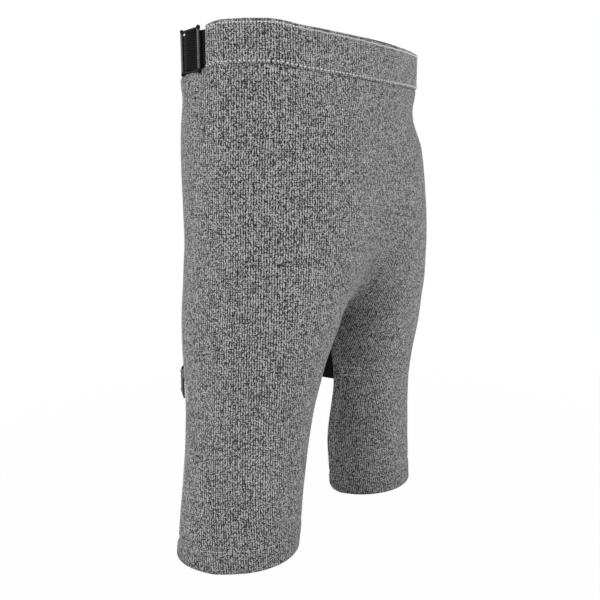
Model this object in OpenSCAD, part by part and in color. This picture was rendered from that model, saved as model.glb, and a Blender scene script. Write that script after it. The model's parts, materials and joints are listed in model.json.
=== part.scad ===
// Knee-length, open-backed leg guards of cut resistant knit, worn on a webbing belt.
// A strap with a side-release buckle closes each thigh, another buckle closes the belt at the back.
// Millimetres. The front is -Y, the wearer's left is +X, up is +Z.
// The origin is the middle of the waist, half way up the belt.

/* [Waist] */
// Width of the waist over the belt's middle line
waist_w = 330; // [290:1:400]
// Radius of the waist's front
front_r = 284; // [240:1:400]
// Radius of the waist at each hip
hip_r = 86; // [70:1:104]

/* [Band] */
// Thickness of the casing's cloth
casing_t = 1.6; // [1:0.1:2.5]
// Depth by which the casing laps over the front panel
casing_lap = 6; // [4:0.5:20]
// Turn from the front at which the casing ends, on each side
casing_turn = 88; // [60:1:90]
// Thickness of the knit
knit_t = 2; // [1.2:0.1:3]
// Room between the layers inside the casing
layer_gap = 0.35; // [0.25:0.05:0.6]

/* [Belt] */
// Width of the belt webbing
belt_w = 38; // [25:1:50]
// Thickness of the belt webbing
belt_t = 1.5; // [1:0.1:2]
// Turn from the front to the middle of the slide adjuster, on the right hip
adjuster_turn = 104; // [102:1:118]
// Distance between the adjuster's two outer bars
adjuster_l = 34; // [28:1:44]
// Radius of the adjuster's outer bars
adjuster_bar_r = 1.7; // [1.2:0.1:2.5]
// Radius of the adjuster's middle bar
adjuster_mid_r = 1.4; // [1:0.1:2]

/* [Leg sections] */
// Waist: drop below the belt, leg's middle from the centre, half width, half depth
upper_size = [-21, 20, 130, 95]; // [-40:1:140]
// Hips: drop, leg's middle from the centre, half width, half depth
hip_size = [100, 50, 124, 114]; // [20:1:140]
// Seat: drop, leg's middle from the centre, half width, half depth
seat_size = [200, 71, 106, 112]; // [40:1:240]
// Crotch: drop, leg's middle from the centre, half width, half depth
crotch_size = [297, 94.5, 86, 95.5]; // [60:0.5:340]
// Thigh: drop, leg's middle from the centre, half width, half depth
thigh_size = [398, 109, 72.5, 77]; // [50:0.5:460]
// Hem: drop, leg's middle from the centre, half width, half depth
hem_size = [550, 126, 70, 71]; // [50:1:660]
// Leg's middle behind the waist's middle at the hips, seat, crotch and thigh
leg_back = [10, 6, 9, 12]; // [0:1:30]
// Leg's middle behind the waist's middle at the hem
hem_back = 13; // [0:1:30]
// Roundness of the valley between the legs at the hips, seat and crotch
valley = [38, 35, 10]; // [2:1:50]
// Share of the front depth that each section keeps behind its side
back_share = 0.83; // [0.7:0.01:1]
// Turn behind each side at which the panel's outer edge lies
edge_turn = 36; // [20:1:50]
// Tuck of the panel under the band
under_tuck = 1.2; // [0:0.1:4]
// Drop from the casing's edge to the middle of the tuck
tuck_drop = 26; // [22:1:40]
// Height of the tuck
tuck_h = 14; // [8:1:16]
// Height over which the round waist turns into the leg sections
waist_blend = 70; // [40:1:90]
// Radius of the hem's inner corner
hem_corner_r = 14; // [4:1:30]
// Depth of the turned-up hem
hem_d = 28; // [15:1:50]
// Thickness of the turned-up hem
hem_t = 1.6; // [1:0.1:2.5]

/* [Thigh strap] */
// Drop of the thigh strap below the belt
strap_drop = 362; // [340:1:400]
// Width of the elastic
elastic_w = 48; // [30:1:60]
// Thickness of the elastic
elastic_t = 1.6; // [1:0.1:2.2]
// Length of elastic sewn inside the panel's inner edge
elastic_lap = 18; // [10:1:30]
// Width of the strap webbing
strap_w = 20; // [15:1:30]
// Thickness of the strap webbing
strap_t = 1.2; // [0.8:0.1:1.6]
// Length of webbing sewn over the elastic
strap_lap = 24; // [12:1:40]
// Length of the tab sewn inside the panel's outer edge
tab_lap = 16; // [8:1:30]
// Straight run from the panel's edge to the end of the buckle
strap_straight = 48; // [46:1:80]

/* [Buckles] */
// Belt buckle: housing width, thickness, length, wall
belt_buckle = [48, 12, 36, 2]; // [1:0.5:60]
// Belt buckle: length of the male half outside the housing
belt_male_l = 24; // [18:1:40]
// Thigh buckle: housing width, thickness, length, wall
leg_buckle = [25, 8.5, 25, 1.4]; // [1:0.5:40]
// Thigh buckle: length of the male half outside the housing
leg_male_l = 14; // [12:1:30]
// Clearance between the moving faces of a buckle
buckle_gap = 0.35; // [0.25:0.05:0.6]

/* [Hidden] */
$fn = 96;

knit_colour = [0.42, 0.42, 0.43];
casing_colour = [0.45, 0.45, 0.46];
webbing_colour = [0.06, 0.06, 0.07];
plastic_colour = [0.05, 0.06, 0.05];
bar_colour = [0.16, 0.16, 0.17];
right = -1;
left = 1;

// Waist path: one arc across the front, one round each hip, and a straight back
side_x = waist_w/2 - hip_r;
front_turn = asin(side_x/(front_r - hip_r));
waist_d = front_r + hip_r - (front_r - hip_r)*cos(front_turn);
front_y = front_r - waist_d/2;
side_y = waist_d/2 - hip_r;
back_y = waist_d/2;
front_len = front_r*front_turn*PI/180;
function hip_len(turn) = hip_r*(turn - front_turn)*PI/180;
function waist_pt(turn, out) = turn <= front_turn ?
    [(front_r + out)*sin(turn), front_y - (front_r + out)*cos(turn)] :
    [side_x + (hip_r + out)*sin(turn), side_y - (hip_r + out)*cos(turn)];
function turn_at(len) = len <= front_len ? len/front_r*180/PI : front_turn + (len - front_len)/hip_r*180/PI;

// Band heights
belt_gap = 0.6;
band_top_gap = 0.6;
casing_in = max(belt_t, knit_t)/2 + layer_gap;
casing_out = casing_in + casing_t;
casing_top = belt_w/2 + band_top_gap + casing_t;
panel_top = -belt_w/2 - belt_gap;
casing_bottom = panel_top - casing_lap;

// Leg sections, joined by smooth curves down the leg
sections = [upper_size, hip_size, seat_size, crotch_size, thigh_size, hem_size];
drops = [for (s = sections) s[0]];
middles = [for (s = sections) s[1]];
half_widths = [for (s = sections) s[2]];
half_depths = [for (s = sections) s[3]];
backs = [leg_back[0] - 3, leg_back[0], leg_back[1], leg_back[2], leg_back[3], hem_back];
valleys = [valley[0] - 8, valley[0], valley[1], valley[2], 0, 0];
inner_turn = 178.2;
function slope(v, i) = let (a = max(0, i - 1), b = min(len(drops) - 1, i + 1)) (v[b] - v[a])/(drops[b] - drops[a]);
function span(d, i = 0) = i >= len(drops) - 2 || d < drops[i + 1] ? i : span(d, i + 1);
function along(v, d) = let (i = span(d), h = drops[i + 1] - drops[i], u = (d - drops[i])/h)
    v[i]*(1 + 2*u)*(1 - u)*(1 - u) + slope(v, i)*h*u*(1 - u)*(1 - u)
    + v[i + 1]*u*u*(3 - 2*u) - slope(v, i + 1)*h*u*u*(1 - u);
function eased(u) = let (c = min(1, max(0, u))) c*c*(3 - 2*c);
function inner_x(d) = along(middles, d) + along(half_widths, d)*cos(inner_turn);
function joined(d) = inner_x(d) <= max(0, along(valleys, d));

// Point of a leg section; t runs from the outer edge (0) to the inner edge or centre front (1)
function leg_point(d, t) =
    let (cx = along(middles, d), rx = along(half_widths, d), ry = along(half_depths, d),
         w = max(0, along(valleys, d)), reach = max(inner_x(d), w),
         a1 = acos(min(1, max(-1, (reach - cx)/rx))),
         a = -edge_turn + (a1 + edge_turn)*t,
         r = cx + rx*cos(a),
         x = sqrt(max(0, r*r - w*w)),
         y = along(backs, d) - ry*(a < 0 ? back_share : 1)*sin(a),
         edge = front_len + hip_len(90 + edge_turn),
         turn = turn_at(edge*(1 - t)),
         tuck = under_tuck*exp(-pow((d + casing_bottom - tuck_drop)/tuck_h, 2)),
         o = waist_pt(turn, -tuck),
         k = eased((d + casing_bottom)/waist_blend))
    [o[0]*(1 - k) + x*k, o[1]*(1 - k) + y*k, -d];

// Outward normal of the panel, from nearby points
function unit(v) = v/max(1e-9, norm(v));
function leg_normal(d, t) =
    let (e = 0.004, t0 = max(0, t - e), t1 = min(1, t + e),
         d0 = max(-panel_top, d - 1), d1 = min(hem_size[0], d + 1),
         n = unit(cross(leg_point(d, t1) - leg_point(d, t0), leg_point(d1, t) - leg_point(d0, t))))
    t > 0.999 && joined(d) ? unit([0, n[1], n[2]]) : n;
function offset_point(d, t, out) = leg_point(d, t) + leg_normal(d, t)*out;

// Rows and columns of the panel's mesh, closer together at the crotch and the hem
col_n = 20;
columns = concat([for (i = [0:col_n - 1]) i/col_n], [0.985, 1]);
crotch_d = [for (d = [crotch_size[0] - 40:1:crotch_size[0] + 60]) if (joined(d)) d];
notch_d = crotch_d[len(crotch_d) - 1];
hem_l = hem_size[0];
under_band_d = casing_lap + 8 - panel_top;
notch_top_d = notch_d - 25;
notch_low_d = notch_d + 10;
corner_rows = [for (i = [1:4]) hem_l - hem_corner_r*(1 - sin(i*22.5))];
rows = concat(
    [for (i = [0:4]) -panel_top + i*(under_band_d + panel_top)/4],
    [for (i = [1:10]) under_band_d + i*(notch_top_d - under_band_d)/10],
    [for (i = [1:7]) notch_top_d + i*(notch_low_d - notch_top_d)/7],
    [for (i = [1:9]) notch_low_d + i*(hem_l - hem_corner_r - notch_low_d)/9],
    corner_rows);
// Length across one leg's panel near the hem
leg_len = 240;
function corner_cut(d) = let (e = max(0, hem_corner_r - hem_l + d))
    (hem_corner_r - sqrt(max(0, hem_corner_r*hem_corner_r - e*e)))/leg_len;

// Closed shell between two grids of points; each grid is a list of rows
module shell(outer, inner) {
    rn = len(outer);
    cn = len(outer[0]);
    front = [for (r = outer) each r];
    back = [for (r = inner) each r];
    m = rn*cn;
    quads = [for (i = [0:rn - 2], j = [0:cn - 2]) [i*cn + j, i*cn + j + 1, (i + 1)*cn + j + 1, (i + 1)*cn + j]];
    rim = concat([for (j = [0:cn - 1]) j], [for (i = [1:rn - 1]) i*cn + cn - 1],
        [for (j = [cn - 2:-1:0]) (rn - 1)*cn + j], [for (i = [rn - 2:-1:1]) i*cn]);
    rim_n = len(rim);
    polyhedron(concat(front, back), concat(
        [for (q = quads) each [[q[0], q[1], q[2]], [q[0], q[2], q[3]]]],
        [for (q = quads) each [[m + q[2], m + q[1], m + q[0]], [m + q[3], m + q[2], m + q[0]]]],
        [for (i = [0:rim_n - 1]) let (a = rim[i], b = rim[(i + 1)%rim_n])
            each [[b, a, m + a], [b, m + a, m + b]]]));
}
module on_side(side) {
    mirror([side < 0 ? 1 : 0, 0, 0]) children();
}

// Strip of cloth in plan: a line of points given a thickness
function strip_normal(p, i) = let (a = p[max(0, i - 1)], b = p[min(len(p) - 1, i + 1)], v = unit([b[0] - a[0], b[1] - a[1]]))
    [v[1], -v[0]];
function strip(p, t) = concat([for (i = [0:len(p) - 1]) [p[i][0], p[i][1]] + strip_normal(p, i)*t/2],
    [for (i = [len(p) - 1:-1:0]) [p[i][0], p[i][1]] - strip_normal(p, i)*t/2]);
module webbing(p, t, w, z = 0) {
    translate([0, 0, z - w/2]) linear_extrude(height = w) polygon(strip(p, t));
}
// Ribbon through lines of points, one for each height from the top edge down
module ribbon(lines, t) {
    idx = [for (i = [0:len(lines[0]) - 1]) i];
    grid = [for (s = [1, -1]) [for (p = lines) [for (i = idx) let (n = strip_normal(p, i)) p[i] + [n[0], n[1], 0]*s*t/2]]];
    shell(grid[0], grid[1]);
}

// ---- Knit pieces ----
// The two legs' grids share their middle column as far down as the legs are joined
module front_panel() {
    rn = len(rows);
    cn = len(columns);
    m = rn*cn;
    last = max([for (i = [0:rn - 1]) if (joined(rows[i])) i]);
    points = [for (out = [knit_t/2, -knit_t/2], side = [left, right], d = rows, t = columns)
        let (p = offset_point(d, t*(1 - corner_cut(d)), out), middle = t == 1 && joined(d)) [middle ? 0 : side*p[0], p[1], p[2]]];
    // Index of a point: layer 0 outside or 1 inside, side 0 left or 1 right
    function at(layer, side, i, j) = 2*m*layer + (j == cn - 1 && i <= last ? 0 : m*side) + i*cn + j;
    function facing(side, f) = side == 0 ? f : [f[2], f[1], f[0]];
    edges = concat([for (j = [0:cn - 2]) [[0, j], [0, j + 1]]],
        [for (i = [last:rn - 2]) [[i, cn - 1], [i + 1, cn - 1]]],
        [for (j = [0:cn - 2]) [[rn - 1, j + 1], [rn - 1, j]]],
        [for (i = [0:rn - 2]) [[i + 1, 0], [i, 0]]]);
    faces = concat(
        [for (layer = [0, 1], side = [0, 1], i = [0:rn - 2], j = [0:cn - 2])
            let (a = at(layer, side, i, j), b = at(layer, side, i, j + 1), c = at(layer, side, i + 1, j + 1),
                 d = at(layer, side, i + 1, j), turned = (side + layer)%2)
            each [facing(turned, [a, b, c]), facing(turned, [a, c, d])]],
        [for (side = [0, 1], e = edges)
            let (a = at(0, side, e[0][0], e[0][1]), b = at(0, side, e[1][0], e[1][1]),
                 c = at(1, side, e[0][0], e[0][1]), d = at(1, side, e[1][0], e[1][1]))
            each [facing(side, [b, a, c]), facing(side, [b, c, d])]]);
    color(knit_colour) polyhedron(points, faces);
}
module hem_half() {
    depth = -knit_t/2 - layer_gap - hem_t/2;
    hem_rows = concat([for (i = [0:4]) hem_l - hem_d + i*(hem_d - hem_corner_r)/4], corner_rows);
    shell([for (d = hem_rows) [for (t = columns) offset_point(d, t*(1 - corner_cut(d)), depth + hem_t/2)]],
        [for (d = hem_rows) [for (t = columns) offset_point(d, t*(1 - corner_cut(d)), depth - hem_t/2)]]);
}
module hem(side) {
    color(knit_colour) on_side(side) hem_half();
}

// ---- Waistband ----
fold_r = 0.8;
inner_fold_r = 0.25;
casing_step = 2;
// Section of a layer of the casing, from its front bottom edge over the top to its back bottom edge
function fold_line(out, top, r) = concat([[out, casing_bottom]],
    [for (a = [0:30:90]) [out - r + r*cos(a), top - r + r*sin(a)]],
    [for (a = [90:30:180]) [-out + r + r*cos(a), top - r + r*sin(a)]],
    [[-out, casing_bottom]]);
function round_waist(line) = [for (a = [casing_turn:-casing_step:-casing_turn])
    [for (q = line) let (p = waist_pt(abs(a), q[0])) [sign(a)*p[0], p[1], q[1]]]];
module waistband_casing() {
    color(casing_colour) shell(round_waist(fold_line(casing_out, casing_top, fold_r)),
        round_waist(fold_line(casing_in, casing_top - casing_t, inner_fold_r)));
}

// ---- Belt ----
belt_step = 4;
end_gap = 0.35;
layer_room = 0.45;
loop_room = 0.3;
hip_end_turn = 176;
strap_join = casing_turn - 6;
weave_reach = adjuster_l/2 + adjuster_bar_r + 2;
weave_turn = asin(weave_reach/hip_r);
return_out = -belt_t - layer_room;
function turns(from, to) = [for (i = [0:ceil((to - from)/belt_step)]) from + (to - from)*i/ceil((to - from)/belt_step)];
function hip_line(from, to, out) = [for (a = turns(from, to)) waist_pt(a, out)];
function mirrored(p) = [for (i = [len(p) - 1:-1:0]) [-p[i][0], p[i][1]]];
gap_turn = end_gap/hip_r*180/PI;

module belt_strap_front() {
    right_end = adjuster_turn - weave_turn - gap_turn;
    color(webbing_colour) webbing(concat(
        mirrored(hip_line(front_turn, right_end, 0)), mirrored(hip_line(0, front_turn - 1, 0)),
        hip_line(1, front_turn - 1, 0), hip_line(front_turn, strap_join, 0)), belt_t, belt_w);
}

// Webbing that rises over the adjuster's middle bar
mid_bar_out = belt_t/2 + buckle_gap + adjuster_mid_r;
loop_in = adjuster_mid_r + loop_room;
loop_out = loop_in + belt_t;
weave_lift = mid_bar_out + loop_out + loop_room + belt_t/2;
function arc_sag(y) = sqrt(hip_r*hip_r - y*y) - hip_r;
module at_adjuster() {
    on_side(right) translate([side_x, side_y, 0]) rotate([0, 0, adjuster_turn - 90]) translate([hip_r, 0, 0]) children();
}
module belt_slider_weave() {
    ys = [for (i = [0:24]) -weave_reach + i*weave_reach/12];
    line = [for (y = ys) [arc_sag(y) + weave_lift*(abs(y) < adjuster_l/2 ? (1 + cos(360*y/adjuster_l))/2 : 0), y]];
    color(webbing_colour) at_adjuster() webbing(line, belt_t, belt_w);
}
module belt_strap_return() {
    start = mid_bar_out - loop_in - belt_t/2;
    reach = (hip_r + return_out)*sin(weave_turn);
    stop = (hip_r + return_out)*cos(weave_turn) - hip_r;
    line = [for (i = [0:10]) [start + (stop - start)*eased(i/10), reach*i/10]];
    color(webbing_colour) at_adjuster() union() {
        webbing(line, belt_t, belt_w);
        difference() {
            translate([mid_bar_out, 0, 0]) cylinder(r = loop_out, h = belt_w, center = true);
            translate([mid_bar_out, 0, 0]) cylinder(r = loop_in, h = belt_w + 2, center = true);
        }
    }
}

// Slide adjuster: two outer bars with round ends, a middle bar and two thin rails
rail_gap = 0.3;
rail_h = 2;
rail_t = 3.4;
bar_out = belt_t/2 + 2.4;
module belt_triglide() {
    bar_l = belt_w + 2*rail_gap + 2*rail_h;
    end_r = adjuster_bar_r + 0.4;
    color(bar_colour) at_adjuster() union() {
        for (s = [-1, 1]) translate([bar_out, s*adjuster_l/2, 0]) {
            cylinder(r = adjuster_bar_r, h = bar_l, center = true);
            for (e = [-1, 1]) translate([0, 0, e*bar_l/2]) sphere(r = end_r);
        }
        translate([mid_bar_out, 0, 0]) cylinder(r = adjuster_mid_r, h = bar_l, center = true);
        for (e = [-1, 1]) translate([bar_out - rail_t/2, -adjuster_l/2, e*(belt_w/2 + rail_gap + rail_h/2) - rail_h/2])
            cube([rail_t, adjuster_l, rail_h]);
    }
}

// Straps behind the hips run beside each other and part at the buckle's bar
female_mouth = 6;
bar_inset = 3;
female_bar_x = female_mouth - belt_buckle[2] + bar_inset;
male_bar_x = female_mouth + belt_male_l - bar_inset;
bar_r = 1.6;
bar_loop_mid = bar_r + loop_room + belt_t/2;
bar_drop = return_out/2;
// Points of a half turn round a bar, from one angle to the other
function half_turn(c, r, from, to) = [for (i = [1:9]) let (a = from + (to - from)*i/10) c + r*[cos(a), sin(a)]];
function flipped(p) = [for (i = [len(p) - 1:-1:0]) p[i]];
// One layer from the hip's end to beside the buckle's bar; out is its level on the hip
function back_line(bar_x, out, bar_out_y) = [for (i = [0:12]) let (u = i/12)
    [side_x + (bar_x - side_x)*u, back_y + out + (bar_drop + bar_out_y - out)*eased((u - 0.3)/0.6)]];
function belt_loop_line(bar_x, from, fold_turn) = concat(
    hip_line(from, hip_end_turn, 0), back_line(bar_x, 0, bar_loop_mid),
    half_turn([bar_x, back_y + bar_drop], bar_loop_mid, 90, 270),
    flipped(back_line(bar_x, return_out, -bar_loop_mid)), flipped(hip_line(fold_turn, hip_end_turn, return_out)));
module belt_strap_right() {
    from = adjuster_turn + weave_turn + gap_turn;
    color(webbing_colour) on_side(right) webbing(belt_loop_line(-female_bar_x, from, from), belt_t, belt_w);
}
module belt_strap_left() {
    sewn_turn = 140;
    color(webbing_colour) webbing(belt_loop_line(male_bar_x, strap_join + gap_turn, sewn_turn), belt_t, belt_w);
}

// ---- Side-release buckles: pull along +X, width along Z, thickness along Y, mouth at x = 0 ----
module rounded_plan(x0, x1, w, r) {
    translate([x0 + r, -w/2]) square([x1 - x0 - 2*r, w]);
    translate([x0, -w/2 + r]) square([x1 - x0, w - 2*r]);
    for (x = [x0 + r, x1 - r], y = [-w/2 + r, w/2 - r]) translate([x, y]) circle(r = r);
}
module plate(x0, x1, w, t, r) {
    rotate([90, 0, 0]) translate([0, 0, -t/2]) linear_extrude(height = t) rounded_plan(x0, x1, w, r);
}
module block(x0, x1, w, t, z = 0) {
    translate([x0, -t/2, z - w/2]) cube([x1 - x0, t, w]);
}
// b = [housing width, thickness, length, wall]; strap = webbing width; br = bar radius; loop = strap loop radius
bar_room = 8;
slot_wall = 1.2;
slot_room = 0.3;
bar_root = 0.5;
function window_front(b) = -0.36*b[2] + (b[0] > 30 ? 0 : 2);
function window_back(b) = -(b[2] - bar_room - 2);
module buckle_female(b, strap, br) {
    union() {
        difference() {
            plate(-b[2], 0, b[0], b[1], 3);
            block(-b[2] + bar_room, 1, b[0] - 2*b[3], b[1] - 2*b[3]);
            block(window_back(b), window_front(b), b[0] + 2, b[1] - 2*b[3]);
            block(-b[2] - 1, -b[2] + bar_room - slot_wall, strap + 2*slot_room, b[1] + 2);
        }
        translate([-b[2] + bar_inset, 0, 0]) cylinder(r = br, h = strap + 2*(slot_room + bar_root), center = true);
    }
}
function arm_w(b) = b[0] > 30 ? 3.4 : 2.2;
function arm_out(b) = b[0]/2 - b[3] - 0.5;
function arm_mid(b) = arm_out(b) - arm_w(b)/2;
pivot_x = 1.6;
module buckle_male(b, strap, br, out_l) {
    cavity = b[1] - 2*b[3];
    tongue_t = cavity - 2*buckle_gap;
    root_r = arm_w(b)/2;
    union() {
        difference() {
            plate(buckle_gap, out_l, b[0], b[1], 3);
            block(out_l - bar_room + slot_wall, out_l + 1, strap + 2*slot_room, b[1] + 2);
            for (s = [-1, 1]) {
                translate([pivot_x, 0, s*arm_mid(b)]) rotate([90, 0, 0])
                    cylinder(r = root_r + buckle_gap, h = cavity, center = true);
                translate([0, -cavity/2, s*arm_mid(b) - root_r - buckle_gap])
                    cube([pivot_x, cavity, 2*(root_r + buckle_gap)]);
            }
        }
        translate([out_l - bar_inset, 0, 0]) cylinder(r = br, h = strap + 2*(slot_room + bar_root), center = true);
        block(-b[2] + bar_room + 3, buckle_gap + 0.5, b[0]*0.26, tongue_t);
    }
}
module buckle_prong(b, s) {
    tip = window_back(b) + 1.2;
    reach = window_front(b) - buckle_gap;
    arm_t = b[1] - 2*b[3] - 2*buckle_gap;
    hook = b[0]/2 + 0.6;
    inner = arm_out(b) - arm_w(b);
    translate([0, arm_t/2, 0]) rotate([90, 0, 0]) linear_extrude(height = arm_t) mirror([0, s < 0 ? 1 : 0]) union() {
        translate([pivot_x, arm_mid(b)]) circle(r = arm_w(b)/2);
        translate([reach - 1, inner]) square([pivot_x - reach + 1, arm_w(b)]);
        polygon([[reach, inner], [reach, hook], [reach - 2, hook + 0.5], [tip + 2, hook - 0.6], [tip, arm_out(b) - 0.4],
            [tip, inner + 0.6], [tip + 1, inner]]);
    }
}
module at_belt_buckle() {
    translate([female_mouth, back_y + bar_drop, 0]) children();
}
module belt_buckle_female() {
    color(plastic_colour) at_belt_buckle() buckle_female(belt_buckle, belt_w, bar_r);
}
module belt_buckle_male() {
    color(plastic_colour) at_belt_buckle() buckle_male(belt_buckle, belt_w, bar_r, belt_male_l);
}
module belt_prong(s) {
    color(plastic_colour) at_belt_buckle() buckle_prong(belt_buckle, s);
}

// ---- Thigh straps ----
leg_bar_r = 1.2;
leg_loop_mid = leg_bar_r + loop_room + strap_t/2;
sewn_gap = 0.6;
tab_in = -knit_t/2 - sewn_gap - strap_t/2;
edge_gap = 4;
edge_pt = offset_point(strap_drop, 0, tab_in);
edge_dir = let (v = leg_point(strap_drop, 0) - leg_point(strap_drop, 0.02)) unit([v[0], v[1]]);
heading = atan2(edge_dir[1], edge_dir[0]);
mouth_pt = [edge_pt[0], edge_pt[1]] + edge_dir*(edge_gap + leg_buckle[2]);
strap_end = [edge_pt[0], edge_pt[1]] + edge_dir*strap_straight;
elastic_in = -knit_t/2 - sewn_gap - elastic_t/2;
elastic_rows = 4;
inner_pt = offset_point(strap_drop, 1, elastic_in);
turn_r = (strap_end[0] - inner_pt[0])/(1 + sin(heading));
turn_mid = strap_end + turn_r*[-sin(heading), cos(heading)];

// Points round the back of the thigh, at an angle from where the straight run ends
function round_pt(a, out) = turn_mid + (turn_r + out)*[cos(a), sin(a)];
function round_line(from, to, out) = [for (i = [0:ceil((to - from)/6)]) round_pt(from + (to - from)*i/ceil((to - from)/6), out)];
webbing_turn = 62;
webbing_out = elastic_t/2 + loop_room + strap_t/2;
elastic_start = heading - 90 + webbing_turn - strap_lap/turn_r*180/PI;
module at_leg_buckle(side) {
    on_side(side) translate([mouth_pt[0], mouth_pt[1], -strap_drop]) rotate([0, 0, heading]) children();
}
// The inner end leans with the panel's edge, and the lean dies out round the back of the thigh
function lean(z, k) = (offset_point(strap_drop - z, 1, elastic_in)[0] - inner_pt[0])*k;
function elastic_line(z) =
    let (round_end = round_pt(180, 0), run = round_end[1] - inner_pt[1],
         d = strap_drop - z,
         arc = round_line(elastic_start, 180, 0))
    concat([for (i = [0:len(arc) - 1]) [arc[i][0] + lean(z, eased((i/(len(arc) - 1) - 0.5)*2)), arc[i][1], -d]],
        [for (i = [1:5]) [round_end[0] + lean(z, 1), round_end[1] - run*i/6, -d]],
        [for (i = [0:4]) offset_point(d, 1 - elastic_lap/leg_len*i/4, elastic_in)]);
module strap_elastic(side) {
    color(webbing_colour) on_side(side)
        ribbon([for (i = [0:elastic_rows]) elastic_line(elastic_w*(0.5 - i/elastic_rows))], elastic_t);
}
side_dir = [sin(heading), -cos(heading)];
male_bar_pt = mouth_pt + edge_dir*(leg_male_l - bar_inset);
tab_bar_pt = mouth_pt - edge_dir*(leg_buckle[2] - bar_inset);
fold_out = webbing_out - strap_t - loop_room;
module strap_webbing(side) {
    from = heading - 90;
    away = norm(strap_end - male_bar_pt);
    outer = [for (i = [0:6]) male_bar_pt + edge_dir*away*i/6
        + side_dir*(leg_loop_mid + (webbing_out - leg_loop_mid)*eased((i - 1)/4))];
    folded = [for (i = [4:-1:0]) male_bar_pt + edge_dir*away*i/6
        + side_dir*(-leg_loop_mid + (fold_out + leg_loop_mid)*eased((i - 1)/4))];
    color(webbing_colour) on_side(side) webbing(concat(folded,
        half_turn(male_bar_pt, leg_loop_mid, heading + 90, heading + 270), outer,
        round_line(from + 5, from + webbing_turn, webbing_out)), strap_t, strap_w, -strap_drop);
}
// The tab runs inside the panel's edge, round the housing's bar and a little way back
function tab_line(z) =
    let (d = strap_drop - z, flat = norm(tab_bar_pt - [edge_pt[0], edge_pt[1]]),
         plan = concat(
             [for (i = [1:4]) tab_bar_pt - edge_dir*flat*(1 - i/4) - side_dir*leg_loop_mid*eased((i - 0.3)/2.7)],
             half_turn(tab_bar_pt, leg_loop_mid, heading + 90, heading - 90),
             [for (i = [0:2]) tab_bar_pt - edge_dir*i + side_dir*leg_loop_mid]))
    concat([for (i = [4:-1:0]) offset_point(d, tab_lap/leg_len*i/4, tab_in)], [for (q = plan) [q[0], q[1], -d]]);
module buckle_tab(side) {
    color(webbing_colour) on_side(side) ribbon([for (z = [0.5, 0, -0.5]) tab_line(strap_w*z)], strap_t);
}
module leg_female(side) {
    color(plastic_colour) at_leg_buckle(side) buckle_female(leg_buckle, strap_w, leg_bar_r);
}
module leg_male(side) {
    color(plastic_colour) at_leg_buckle(side) buckle_male(leg_buckle, strap_w, leg_bar_r, leg_male_l);
}
module leg_prong(side, s) {
    color(plastic_colour) at_leg_buckle(side) buckle_prong(leg_buckle, s);
}

front_panel();
waistband_casing();
hem(right);  // right_hem
hem(left);  // left_hem
belt_strap_front();
belt_strap_right();
belt_strap_left();
belt_slider_weave();
belt_strap_return();
belt_triglide();
belt_buckle_female();
belt_buckle_male();
belt_prong(1);  // belt_prong_upper
belt_prong(-1);  // belt_prong_lower
strap_elastic(right);  // right_strap_elastic
strap_webbing(right);  // right_strap_webbing
buckle_tab(right);  // right_buckle_tab
leg_female(right);  // right_buckle_female
leg_male(right);  // right_buckle_male
leg_prong(right, 1);  // right_prong_upper
leg_prong(right, -1);  // right_prong_lower
strap_elastic(left);  // left_strap_elastic
strap_webbing(left);  // left_strap_webbing
buckle_tab(left);  // left_buckle_tab
leg_female(left);  // left_buckle_female
leg_male(left);  // left_buckle_male
leg_prong(left, 1);  // left_prong_upper
leg_prong(left, -1);  // left_prong_lower
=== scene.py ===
import json
import math
import bmesh
import bpy
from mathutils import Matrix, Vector, noise


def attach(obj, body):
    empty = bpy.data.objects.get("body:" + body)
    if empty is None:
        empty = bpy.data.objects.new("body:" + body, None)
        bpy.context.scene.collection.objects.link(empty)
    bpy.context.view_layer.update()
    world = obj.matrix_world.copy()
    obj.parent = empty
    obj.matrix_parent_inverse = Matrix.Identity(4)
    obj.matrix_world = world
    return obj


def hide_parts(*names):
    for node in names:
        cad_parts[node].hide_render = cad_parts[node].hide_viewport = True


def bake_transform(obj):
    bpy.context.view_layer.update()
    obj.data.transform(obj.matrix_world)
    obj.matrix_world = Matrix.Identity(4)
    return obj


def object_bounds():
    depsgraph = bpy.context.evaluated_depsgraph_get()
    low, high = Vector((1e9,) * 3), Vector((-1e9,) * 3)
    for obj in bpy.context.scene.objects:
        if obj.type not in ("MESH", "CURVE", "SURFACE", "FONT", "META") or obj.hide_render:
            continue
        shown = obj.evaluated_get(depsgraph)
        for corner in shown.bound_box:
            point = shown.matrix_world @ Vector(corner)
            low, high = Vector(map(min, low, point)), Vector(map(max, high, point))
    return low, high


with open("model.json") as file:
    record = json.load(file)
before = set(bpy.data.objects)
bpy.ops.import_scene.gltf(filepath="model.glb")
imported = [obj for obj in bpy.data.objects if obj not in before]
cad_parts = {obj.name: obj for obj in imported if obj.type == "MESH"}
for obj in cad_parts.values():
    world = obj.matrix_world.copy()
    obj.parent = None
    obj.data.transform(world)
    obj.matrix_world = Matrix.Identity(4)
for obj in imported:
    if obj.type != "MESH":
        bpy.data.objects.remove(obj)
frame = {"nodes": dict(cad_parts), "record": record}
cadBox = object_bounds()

print("frame loaded")

# ---- view and light ----
viewSetup = {
    "turn": -51.9,       # degrees round the guards, 0 looks along +Y
    "height": 9.8,       # degrees above the horizon
    "distance": 0.897,
    "target": (0.0, 0.0073, -0.278),
    "lens": 43.15,
    "shift": (-0.0127, 0.0),
}
lightSetup = {
    "key": {"at": (1.1, -2.1, 0.5), "size": 1.2, "power": 27},
    "fill": {"at": (-2.3, 0.2, 0.4), "size": 1.5, "power": 23},
    "back": {"at": (0.6, 2.0, 1.2), "size": 1.6, "power": 12},
    "aim": (0, 0, -0.27),
    "world": 0.25,
    "floor": (0.9, 0.9, 0.9, 1),
    "floorGlow": 0.97,         # share of plain white that the camera sees in the floor
    "floorFade": (0.35, 1.1),  # the floor turns fully white between these distances
    "floorRadius": 6,
}


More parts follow.
